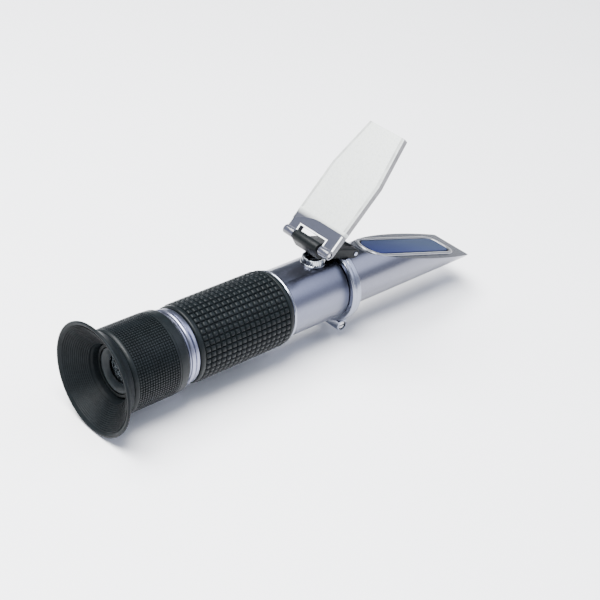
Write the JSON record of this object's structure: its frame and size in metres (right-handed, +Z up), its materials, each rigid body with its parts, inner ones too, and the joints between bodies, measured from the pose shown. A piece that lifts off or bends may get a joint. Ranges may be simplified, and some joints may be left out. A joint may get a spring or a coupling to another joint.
{
  "type": "refractometer",
  "caption": "Hand-held refractometer: eyecup, knurled focus ring, studded rubber grip, metal barrel and slanted prism under a double-hinged daylight plate.",
  "frame": {"origin": "centre of the bounding box at its lowest level, so the optical axis runs 20.2 mm above the surface that the rim rests on", "axes": "+X along the optical axis from the eyecup to the prism's nose, +Z up towards the sample face, +Y to the left"},
  "size_m": [0.1726, 0.0404, 0.0769],
  "materials": {
    "soft_rubber": "soft black rubber with fine concentric ribs",
    "knurled_rubber": "hard black rubber, fine square knurl",
    "grip_rubber": "black rubber moulded with small square studs",
    "barrel_aluminium": "satin anodised, slightly blue",
    "housing_metal": "satin plated casting",
    "bright_metal": "polished plating",
    "screw_steel": "turned steel",
    "black_metal": "black, semi-gloss",
    "grey_metal": "dark grey, satin",
    "bimetal": "rolled strip",
    "lens_glass": "polished, coated",
    "prism_glass": "polished, blue against the dark housing",
    "seal_rubber": "thin black seal",
    "frosted_plastic": "clear plastic with a frosted window"
  },
  "bodies": {
    "barrel": {"barrel_tube": "barrel_aluminium", "rear_collar": "bright_metal", "rubber_grip": "grip_rubber", "front_trim_ring": "bright_metal", "calibration_collar": "bright_metal", "calibration_seal": "seal_rubber", "reticle_holder": "black_metal", "reticle_disc": "lens_glass", "reticle_lock_ring": "black_metal", "light_baffle": "black_metal", "strip_foot_ring": "black_metal", "clamp_band": "bright_metal", "clamp_screw": "screw_steel", "clamp_nut": "screw_steel", "prism_housing": "housing_metal", "prism": "prism_glass", "prism_seal": "seal_rubber", "hinge_lug": "black_metal"},
    "focus": {"eyecup": "soft_rubber", "focus_ring": "knurled_rubber"},
    "eyepiece": {"eyepiece_cell": "black_metal", "eyepiece_retaining_ring": "grey_metal", "eye_lens": "lens_glass", "lens_spacer": "black_metal", "field_lens": "lens_glass"},
    "calibration": {"calibration_screw": "screw_steel"},
    "objective": {"objective_carrier": "black_metal", "bimetal_strip": "bimetal", "objective_lens": "lens_glass", "objective_lock_ring": "black_metal"},
    "link": {"hinge_link": "black_metal", "link_pin": "screw_steel"},
    "plate": {"daylight_plate": "frosted_plastic", "plate_pin": "screw_steel"}
  },
  "joints": [
    {"name": "eyepiece_slide", "type": "slide", "parent": "barrel", "child": "eyepiece", "axis": [1, 0, 0], "range_m": [-0.00416, 0]},
    {"name": "focus_turn", "type": "hinge", "parent": "eyepiece", "child": "focus", "pos_m": [-0.0663, 0, 0.0202], "axis": [1, 0, 0], "range_deg": [0, 300]},
    {"name": "calibration_turn", "type": "hinge", "parent": "barrel", "child": "calibration", "pos_m": [0.0097, 0, 0.0322], "axis": [0, 0, 1], "range_deg": [-270, 270]},
    {"name": "objective_shift", "type": "slide", "parent": "barrel", "child": "objective", "axis": [0, 0, 1], "range_m": [-0.000374, 0.000374]},
    {"name": "link_fold", "type": "hinge", "parent": "barrel", "child": "link", "pos_m": [0.0249, 0, 0.03355], "axis": [0, 1, 0], "range_deg": [0, 167.97]},
    {"name": "plate_fold", "type": "hinge", "parent": "link", "child": "plate", "pos_m": [0.0059, 0, 0.0418], "axis": [0, 1, 0], "range_deg": [-107, 0]}
  ],
  "couplings": [
    {"joint": "focus_turn", "follows": "eyepiece_slide", "rad_per_m": -1256.6},
    {"joint": "calibration_turn", "follows": "objective_shift", "rad_per_m": 12566},
    {"joint": "plate_fold", "follows": "link_fold", "ratio": -0.62851}
  ]
}
